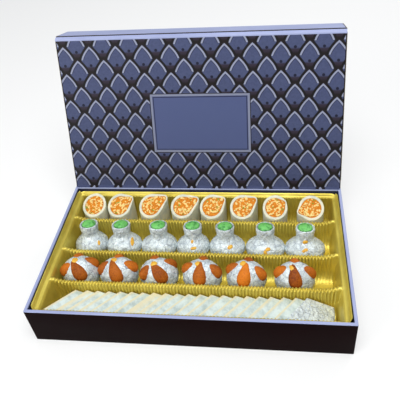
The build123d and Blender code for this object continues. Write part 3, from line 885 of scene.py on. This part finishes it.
# Kalash: small pots of cashew dough turned by hand, under silver leaf that wrinkles over them,
# with a green pistachio bead pressed into each mouth. They lean back on the divider behind them.
pot_places = tuple(share * row_length for share in (-0.853, -0.6, -0.312, -0.05, 0.193, 0.49, 0.78))
pot_lean = math.radians(14.0)
pot_height = 37.4
pot_line = 20.35
pot_heel = 9.0
pot_level = sweet_floor + pot_heel * math.sin(pot_lean)
belly_radius = 16.7
pot_profile = ((0.0, 0.0), (7.0, 0.0), (9.0, 0.006), (11.8, 0.05), (14.2, 0.11), (15.9, 0.18),
               (belly_radius, 0.26), (belly_radius, 0.34), (15.9, 0.42), (14.3, 0.49), (12.2, 0.55),
               (10.2, 0.61), (8.9, 0.67), (8.7, 0.73), (9.0, 0.8), (9.4, 0.88), (9.6, 0.94), (9.6, 0.975),
               (9.3, 0.996), (8.8, 1.0), (8.2, 0.992), (7.8, 0.95), (5.0, 0.915), (0.0, 0.91))
pot_sides = 96
profile_fine = 4
least_radius = 3.0


def rounded(a, b, c, d, t):
    """A place between b and c on the smooth curve through four values."""
    slope, bend, twist = c - a, 2 * a - 5 * b + 4 * c - d, 3 * b - a - 3 * c + d
    return 0.5 * (2 * b + slope * t + bend * t * t + twist * t**3)


def smooth_profile(profile, fine):
    """A rounder line through the points of a profile."""
    line = []
    last = len(profile) - 1
    for number in range(last):
        around = [profile[min(max(number + step, 0), last)] for step in (-1, 0, 1, 2)]
        for step in range(fine):
            line.append(tuple(rounded(*values, step / fine) for values in zip(*around)))
    return line + [profile[-1]]


def turned(profile, height, sides, put, wrinkle):
    """A turned form whose skin is moved by wrinkle, with points at its two poles."""
    inner_line = profile[1:-1]
    points = [put(0, 0, profile[0][1] * height)]
    for radius, share in inner_line:
        for step in range(sides):
            around = 2 * math.pi * step / sides
            x, y, z = radius * math.cos(around), radius * math.sin(around), share * height
            grow = 1 + wrinkle(x, y, z) / max(radius, least_radius)
            points.append(put(x * grow, y * grow, z))
    points.append(put(0, 0, profile[-1][1] * height))
    faces = []
    for step in range(sides):
        ahead_step = (step + 1) % sides
        faces.append((0, 1 + ahead_step, 1 + step))
        last = 1 + (len(inner_line) - 1) * sides
        faces.append((last + step, last + ahead_step, len(points) - 1))
        for level_number in range(len(inner_line) - 1):
            a = 1 + level_number * sides
            faces.append((a + step, a + ahead_step, a + sides + ahead_step, a + sides + step))
    return points, faces


def joined(forms):
    """Points and faces of several closed forms, as those of one mesh."""
    points, faces = [], []
    for some_points, some_faces in forms:
        start = len(points)
        points += some_points
        faces += [tuple(start + i for i in face) for face in some_faces]
    return points, faces


def leaf_wrinkle(seed, strength):
    """How silver leaf creases: long folds, and finer ones between them, as a depth in mm."""
    def depth(x, y, z):
        fold = abs(shake(x, y, z, 9.0, seed))
        fine = abs(shake(x, y, z * 0.6, 3.2, seed + 4))
        return strength * (0.2 - 0.9 * max(0.0, 0.22 - fold) - 0.45 * fine)
    return depth


leaf_reach = 20.6
first_room = 17.6
leaf_rise = 0.66
leaf_full = 0.36


def on_pot(number):
    """Puts a point of a pot where it stands. Loose leaf spreads sideways, up to its neighbours."""
    place_x = pot_places[number - 1]
    left_room = (place_x - pot_places[number - 2]) / 2 if number > 1 else first_room
    right_room = (pot_places[number] - place_x) / 2 if number < len(pot_places) else leaf_reach

    def put(x, y, z):
        low = min(max((leaf_rise - z / pot_height) / (leaf_rise - leaf_full), 0), 1)
        room = min(right_room if x > 0 else left_room, leaf_reach)
        spread = 1 + (room / belly_radius - 1) * low * low * (3 - 2 * low)
        return (
            place_x + x * spread,
            pot_line + y * math.cos(pot_lean) + z * math.sin(pot_lean),
            pot_level - y * math.sin(pot_lean) + z * math.cos(pot_lean),
        )
    return put


pot_line_fine = smooth_profile(pot_profile, profile_fine)
pots = []
for number in range(1, len(pot_places) + 1):
    form = turned(pot_line_fine, pot_height, pot_sides, on_pot(number), leaf_wrinkle(number * 3.1, 1.9))
    pots.append(new_piece(f"kalash_pot_{number}", *form, "kalash", "silver_leaf", f"kalash_{number}",
                          smooth=0))

# Silver leaf: beaten silver a few thousandths of a millimetre thin, so it lies in every crease and
# breaks there. It reads as a pale, cold sheen with grey cracks and warm dough in the breaks.
leaf, tree = new_material("edible_silver_leaf")
place = add_node(tree, "ShaderNodeTexCoord").outputs["Object"]
bend = add_node(tree, "ShaderNodeTexNoise", {"Vector": place, "Scale": 1 / (6.6667 * mm), "Detail": 3.0})
drift = add_node(tree, "ShaderNodeVectorMath", {0: bend.outputs["Color"], "Scale": 4 * mm},
                 operation="SCALE")
bent = add_node(tree, "ShaderNodeVectorMath", {0: place, 1: drift}, operation="ADD")
facets = add_node(tree, "ShaderNodeTexVoronoi", {"Vector": bent, "Scale": 1 / (4.7619 * mm)},
                  feature="F1")
crack = add_node(tree, "ShaderNodeTexVoronoi", {"Vector": bent, "Scale": 1 / (6.6667 * mm)},
                 feature="DISTANCE_TO_EDGE")
patch = add_node(tree, "ShaderNodeTexNoise", {"Vector": place, "Scale": 1 / (4.1667 * mm), "Detail": 6.0,
                 "Roughness": 0.7})
share = add_node(tree, "ShaderNodeMapRange", {"Value": patch, "From Min": 0.33, "From Max": 0.56})
shade = add_node(tree, "ShaderNodeMix", {0: share, 6: colour("#aebac2"), 7: colour("#e4eeef")},
                 data_type="RGBA")
gap = add_node(tree, "ShaderNodeMapRange", {"Value": crack.outputs["Distance"], "From Min": 0.0,
               "From Max": 0.04, "To Min": 0.75, "To Max": 0.0})
tint = add_node(tree, "ShaderNodeMix", {0: gap, 6: shade.outputs[2], 7: colour("#6c7080")},
                data_type="RGBA")
crease = add_node(tree, "ShaderNodeTexNoise", {"Vector": place, "Scale": 1 / (1.5385 * mm),
                  "Detail": 4.0})
relief = add_node(tree, "ShaderNodeMath", {0: facets.outputs["Distance"], 1: crease}, operation="ADD")
raised = add_node(tree, "ShaderNodeBump", {"Height": relief, "Strength": 0.7, "Distance": 1.1 * mm})
shader = add_node(tree, "ShaderNodeBsdfPrincipled", {"Base Color": tint.outputs[2], "Metallic": 0.18,
                  "Roughness": 0.42, "Normal": raised})
add_node(tree, "ShaderNodeOutputMaterial", {"Surface": shader})
for pot in pots:
    paint(pot, leaf)

# Pistachio beads: green paste rolled between the palms, then pressed flat into the mouth of each
# pot, with a small swirl where it was closed.
bead_rise = 2.6
bead_depth = 2.4
bead_profile = ((0.0, -bead_depth), (6.6, -bead_depth), (7.3, -1.6), (7.5, -0.5), (7.35, 0.3), (6.9, 0.95),
                (6.0, 1.55), (4.8, 2.05), (3.4, 2.4), (1.7, 2.58), (0.0, bead_rise))
bead_sides = 40
bead_forms = []
for number in range(1, len(pot_places) + 1):
    def put(x, y, z, stand=on_pot(number)):
        return stand(x, y, z + pot_height)

    def swirl(x, y, z, number=number):
        wave = math.cos(2 * math.atan2(y, x) + math.hypot(x, y) * 1.1 + number)
        return 0.25 * wave * (z > 0) + 0.3 * shake(x, y, z, 3.5, number * 2.3) - 0.2
    bead_forms.append(turned(smooth_profile(bead_profile, 2), 1.0, bead_sides, put, swirl))
beads = new_piece("pistachio_balls", *joined(bead_forms), "kalash", "pistachio", "pistachio_beads",
                  smooth=0)
paint(beads, mottled("pistachio_paste", "#287a33", "#74c766", 3.3333, 4.0, 0.5, span=(0.3, 0.52),
                     strength=0.6, depth=0.6))

# Almond balls: dough balls a little flat from front to back under wrinkled silver leaf, with four
# whole almonds pressed in round the top and a dab of saffron water.
ball_radius = 19.6
ball_half_depth = 15.3
ball_line = -20.5
ball_level = sweet_floor + 18.9
ball_places = tuple(share * row_length for share in (-0.838, -0.553, -0.259, 0.053, 0.365, 0.698))
ball_turns = (20, 5, 25, -5, -10, 0)
almond_length = 21.0
almond_width = 12.6
almond_proud = 2.9
front_growth = 1.16
almond_tilt = math.radians(47.0)
ball_profile = tuple((math.sin(math.pi * k / 48), -math.cos(math.pi * k / 48)) for k in range(49))
ball_sides = 96
for number, place_x in enumerate(ball_places, start=1):
    crease = leaf_wrinkle(number * 5.7, 2.0)

    def put(x, y, z, place_x=place_x):
        return (
            place_x + x * ball_radius,
            ball_line + y * ball_half_depth,
            max(ball_level + z * ball_radius, sweet_floor),
        )

    def folds(x, y, z, crease=crease):
        return crease(x * ball_radius, y * ball_half_depth, z * ball_radius) * least_radius / ball_radius
    form = turned(ball_profile, 1.0, ball_sides, put, folds)
    ball = new_piece(f"leafed_ball_{number}", *form, "almond_balls", "silver_leaf", f"almond_ball_{number}",
                     smooth=0)
    paint(ball, leaf)


def almond_seat(place, around):
    """The place of one almond: its own x across, y up the ball, z away from it."""
    across = ball_radius * ball_half_depth / math.hypot(
        ball_half_depth * math.cos(around), ball_radius * math.sin(around))
    steep_out, steep_up = ball_radius * math.sin(almond_tilt), across * math.cos(almond_tilt)
    size = math.hypot(steep_out, steep_up)
    steep_out, steep_up = steep_out / size, steep_up / size
    sunk = almond_width / 2 - almond_proud
    out = across * math.sin(almond_tilt) - sunk * steep_out
    up = ball_radius * math.cos(almond_tilt) - sunk * steep_up
    middle = Vector(place) + Vector((out * math.cos(around), out * math.sin(around), up))
    x_way = Vector((-math.sin(around), math.cos(around), 0))
    z_way = Vector((math.cos(around) * steep_out, math.sin(around) * steep_out, steep_up))
    return middle, x_way, z_way.cross(x_way), z_way


almond_outline = ((-0.5, 0.0), (-0.485, 0.26), (-0.45, 0.5), (-0.38, 0.76), (-0.28, 0.93), (-0.15, 1.0),
                  (-0.02, 0.98), (0.12, 0.87), (0.26, 0.66), (0.38, 0.42), (0.46, 0.2), (0.5, 0.0))
almond_profile = smooth_profile([(out * almond_width / 2, along) for along, out in almond_outline], 2)
almond_sides = 28
almond_bend = 55
almond_ridges = 15
front_quarter = 3
front_tones = (0.2, 0.25, 0.3, 0.5, 1.0, 0.15)
front_leans = (26, 20, 22, 3, -2, 10)
side_lean_most = 10
almond_forms, almond_tones = [], []
for number, (place_x, turn) in enumerate(zip(ball_places, ball_turns), start=1):
    for quarter in range(4):
        around = math.radians(turn + 90 * quarter)
        middle, x_way, y_way, z_way = almond_seat((place_x, ball_line, ball_level), around)
        draw = random.Random(number * 10 + quarter)
        long_share, wide_share = draw.uniform(0.95, 1.0), draw.uniform(0.93, 1.0)
        growth = 1.0
        if quarter == front_quarter:
            growth = front_growth
            tone = front_tones[number - 1]
            lean = math.radians(front_leans[number - 1])
        else:
            tone = draw.uniform(0.35, 0.75)
            lean = math.radians(draw.uniform(-side_lean_most, side_lean_most))
        shift = almond_length * (growth - 1) / 2

        def put(x, y, z, middle=middle, x_way=x_way, y_way=y_way, z_way=z_way, wide=wide_share * growth,
                long=long_share * growth, shift=shift, lean=lean):
            along, across = z * long + shift, x * wide
            bend = max(along, 0.0) ** 2 / almond_bend
            aside = across * math.cos(lean) - along * math.sin(lean)
            upwards = along * math.cos(lean) + across * math.sin(lean)
            return tuple(middle + x_way * aside + y_way * upwards + z_way * (y - bend))

        def ridge(x, y, z, seed=number * 4 + quarter):
            wander = 1.5 * shake(0, 0, z, 7.0, seed)
            wrinkle = 0.10 * math.sin(math.atan2(y, x) * almond_ridges + wander)
            return wrinkle + 0.15 * shake(x, y, z, 5.0, seed)
        almond_forms.append(turned(almond_profile, almond_length, almond_sides, put, ridge))
        almond_tones += [tone] * len(almond_forms[-1][0])
almonds = new_piece("whole_almonds", *joined(almond_forms), "almond_balls", "almond", "almonds", smooth=0)
almonds.data.attributes.new("tone", "FLOAT", "POINT").data.foreach_set("value", almond_tones)

# Almond skin: dry and reddish brown, in fine lengthwise wrinkles, lighter where it has rubbed. Each
# almond has a tone of its own.
skin, tree = new_material("almond_skin")
place = add_node(tree, "ShaderNodeTexCoord").outputs["Object"]
patch = add_node(tree, "ShaderNodeTexNoise", {"Vector": place, "Scale": 1 / (16.667 * mm), "Detail": 4.0})
fine = add_node(tree, "ShaderNodeTexNoise", {"Vector": place, "Scale": 1 / (1.25 * mm), "Detail": 4.0})
both = add_node(tree, "ShaderNodeMath", {0: patch, 1: fine}, operation="ADD")
shade = add_node(tree, "ShaderNodeMapRange", {"Value": both, "From Min": 0.75, "From Max": 1.2})
tone = add_node(tree, "ShaderNodeAttribute", attribute_name="tone")
toned = add_node(tree, "ShaderNodeMath", {0: shade, 1: 0.6, 2: tone.outputs["Fac"]},
                 operation="MULTIPLY_ADD")
share = add_node(tree, "ShaderNodeMapRange", {"Value": toned, "From Max": 1.5})
tint = add_node(tree, "ShaderNodeMix", {0: share, 6: colour("#5f2009"), 7: colour("#d9791c")},
                data_type="RGBA")
raised = add_node(tree, "ShaderNodeBump", {"Height": fine, "Strength": 0.5, "Distance": 0.4 * mm})
shader = add_node(tree, "ShaderNodeBsdfPrincipled", {"Base Color": tint.outputs[2], "Roughness": 0.6,
                  "Normal": raised, "Specular IOR Level": 0.2})
add_node(tree, "ShaderNodeOutputMaterial", {"Surface": shader})
paint(almonds, skin)

# Saffron: a dab of steeped strands laid on each ball and a few on the pots. They soak into the leaf,
# mottled in yellow and orange.
saffron = mottled("saffron_strand", "#cf7a12", "#f4cf4a", 2.0, 3.0, 0.5)
dab_radius = 3.3
dab_thick = 0.9
dab_forms = []


def dab_profile(radius):
    """Half a round outline of this radius, from pole to pole."""
    return [(radius * math.sin(math.pi * k / 12), -math.cos(math.pi * k / 12)) for k in range(13)]


for number, place_x in enumerate(ball_places, start=1):
    middle = Vector((place_x, ball_line, ball_level))
    way = Vector((-0.12, -0.10 + 0.1 * (number % 3), 1)).normalized()
    spot = middle + Vector((way.x * ball_radius, way.y * ball_half_depth, way.z * ball_radius))

    def put(x, y, z, spot=spot):
        return (spot.x + x, spot.y + y, spot.z + z + 0.1 - (x * x + y * y) / 34)

    def rough_skin(x, y, z, number=number):
        return 0.8 * shake(x, y, z, 2.0, number * 3.3)
    dab_forms.append(turned(dab_profile(dab_radius), dab_thick, 24, put, rough_skin))
dabs = new_piece("saffron_dabs", *joined(dab_forms), "almond_balls", "nut_filling", smooth=0)
paint(dabs, saffron)

pot_side = pot_profile[:19]
strand_rise = [share for radius, share in pot_side]
strand_reach = [radius for radius, share in pot_side]
strand_forms = []
for pot_number, turn, share, long, wide, tilt in (
    (1, -38, 0.50, 2.8, 1.4, 30), (2, -30, 0.53, 5.2, 1.6, 50), (4, -88, 0.63, 2.0, 1.3, 10),
    (4, -82, 0.49, 3.2, 1.7, 80), (5, -66, 0.52, 3.2, 1.8, 60), (6, -88, 0.40, 3.6, 1.5, -20),
    (6, -80, 0.50, 2.8, 1.8, 60), (7, -92, 0.68, 2.8, 2.1, 70), (7, -92, 0.50, 3.0, 1.7, 60),
):
    around = math.radians(turn)
    radius = float(np.interp(share, strand_rise, strand_reach))
    steeper = float(np.interp(share + 0.03, strand_rise, strand_reach)) - radius
    outward = Vector((math.cos(around), math.sin(around), 0))
    up_pot = (outward * steeper + Vector((0, 0, 0.03 * pot_height))).normalized()
    across = Vector((-math.sin(around), math.cos(around), 0))
    proud = across.cross(up_pot)
    lay = up_pot * math.cos(math.radians(tilt)) + across * math.sin(math.radians(tilt))
    beside = proud.cross(lay)
    seat = outward * radius + Vector((0, 0, share * pot_height))

    def put(x, y, z, seat=seat, lay=lay, beside=beside, proud=proud, stand=on_pot(pot_number)):
        return stand(*(seat + lay * z + beside * x + proud * (0.4 * y)))

    def rough_skin(x, y, z, number=pot_number):
        return 0.9 * shake(x, y, z, 1.6, number * 4.1)
    strand_forms.append(turned(dab_profile(wide), long, 20, put, rough_skin))
strands = new_piece("saffron_on_pots", *joined(strand_forms), "kalash", "nut_filling", smooth=0)
paint(strands, saffron)

# Katli: thin cashew diamonds laid like fallen dominoes, with silver leaf on the upper face and
# bare cream paste at the cut edges. Hand cutting leaves their edges soft and a little uneven.
katli_thick = 4.7
katli_pitch = 11.3
katli_slope = math.radians(27.5)
katli_skew = 23.0
katli_room = 0.4
katli_front = -row_front + side_lean + katli_room
katli_back = dividers[0] - divider_half - side_lean - katli_room
katli_deep = katli_back - katli_front
katli_edge = math.hypot(katli_skew, katli_deep)
katli_low = sweet_floor + katli_thick * math.cos(katli_slope) + katli_edge * math.sin(katli_slope)
katli_first = -0.822 * row_length
katli_end = row_length - end_lean - 2.0
across_steps, deep_steps, edge_soft = 22, 16, 0.6
katli_wave = 0.16
katli_count = 21
widest_band = 8
bare_band = 2.2

bare_paste = mottled("cashew_paste_edge", "#c6bd98", "#e6dfc0", 4.1667, 4.0, 0.6, strength=0.4, depth=0.4)

flat_leaf, tree = new_material("silver_leaf_on_katli")
place = add_node(tree, "ShaderNodeTexCoord").outputs["Object"]
from_edge = add_node(tree, "ShaderNodeAttribute", attribute_name="from_left_edge")
patch = add_node(tree, "ShaderNodeTexNoise", {"Vector": place, "Scale": 1 / (8.3333 * mm), "Detail": 6.0,
                 "Roughness": 0.65})
share = add_node(tree, "ShaderNodeMapRange", {"Value": patch, "From Min": 0.3, "From Max": 0.6})
shade = add_node(tree, "ShaderNodeMix", {0: share, 6: colour("#aabbb9"), 7: colour("#dae7e4")},
                 data_type="RGBA")
fold = add_node(tree, "ShaderNodeTexNoise", {"Vector": place, "Scale": 1 / (2.381 * mm), "Detail": 5.0})
raised = add_node(tree, "ShaderNodeBump", {"Height": fold, "Strength": 0.5, "Distance": 0.4 * mm})
ragged = add_node(tree, "ShaderNodeMath", {0: fold, 1: bare_band}, operation="MULTIPLY")
reach = add_node(tree, "ShaderNodeMath", {0: from_edge.outputs["Fac"], 1: ragged}, operation="SUBTRACT")
bare = add_node(tree, "ShaderNodeMapRange", {"Value": reach, "From Min": bare_band, "From Max": 0.0})
tint = add_node(tree, "ShaderNodeMix", {0: bare, 6: shade.outputs[2], 7: colour("#e3dcba")},
                data_type="RGBA")
shader = add_node(tree, "ShaderNodeBsdfPrincipled", {"Base Color": tint.outputs[2], "Metallic": 0.1,
                  "Roughness": 0.5, "Normal": raised})
add_node(tree, "ShaderNodeOutputMaterial", {"Surface": shader})

for number in range(1, katli_count + 1):
    tip = katli_first + katli_pitch * (number - 1)
    draw = random.Random(number)
    tip += draw.uniform(-0.5, 0.5)
    rise = draw.uniform(-0.35, 0.0)
    edge_share = 0.4 if number == widest_band else draw.uniform(0.6, 1.6)
    level_rings = []
    for inset, height in ((edge_soft, -katli_thick), (0.0, -katli_thick + edge_soft), (0.0, -edge_soft),
                          (edge_soft * bevel_share, -edge_soft * bevel_share), (edge_soft, 0.0)):
        corners = [(-inset * 1.2, -inset), (-katli_skew + inset * 0.5, -katli_deep + inset),
                   (katli_edge - katli_skew - inset * 1.6, -katli_deep + inset),
                   (katli_edge - inset, -inset)]
        outline = []
        for corner in range(4):
            a, b = corners[corner], corners[(corner + 1) % 4]
            many = deep_steps if corner % 2 == 0 else across_steps
            for step in range(many):
                t = step / many
                outline.append((a[0] + (b[0] - a[0]) * t, a[1] + (b[1] - a[1]) * t, height))
        level_rings.append(outline)

    def put(u, v, w):
        lift = katli_wave * shake(u, v, w, 6.0, number * 2.7) if w > -1 else 0.0
        x = tip + u * math.cos(katli_slope) + (w + lift) * math.sin(katli_slope)
        y = katli_back + v
        z = katli_low + rise - u * math.sin(katli_slope) + (w + lift) * math.cos(katli_slope)
        return (min(x, katli_end), y, max(z, sweet_floor))
    rings = [[put(*p) for p in one] for one in level_rings]
    points, faces = stacked(rings, capped=False)
    count = len(rings[0])
    faces.append(tuple(reversed(range(count))))
    corner_steps = (0, deep_steps, deep_steps + across_steps, 2 * deep_steps + across_steps)
    top = [level_rings[-1][i] for i in corner_steps]
    net_start = len(points)
    for i in range(across_steps + 1):
        for j in range(deep_steps + 1):
            a = [top[0][k] + (top[3][k] - top[0][k]) * i / across_steps for k in range(3)]
            b = [top[1][k] + (top[2][k] - top[1][k]) * i / across_steps for k in range(3)]
            points.append(put(*[a[k] + (b[k] - a[k]) * j / deep_steps for k in range(3)]))
    side_count = len(faces)
    for i in range(across_steps):
        for j in range(deep_steps):
            a = net_start + i * (deep_steps + 1) + j
            faces.append((a, a + 1, a + deep_steps + 2, a + deep_steps + 1))
    piece = new_piece(f"katli_diamond_{number}", points, faces, "katli", "silver_leaf_katli",
                      f"katli_{number}", smooth=50)
    paint(piece, bare_paste, leaf if number == katli_count else flat_leaf)
    for polygon in piece.data.polygons:
        if polygon.index >= side_count:
            polygon.material_index = 1
    edge_gap = piece.data.attributes.new("from_left_edge", "FLOAT", "POINT")
    for i in range(across_steps + 1):
        for j in range(deep_steps + 1):
            edge_gap.data[net_start + i * (deep_steps + 1) + j].value = (
                katli_deep * edge_share * i / across_steps)
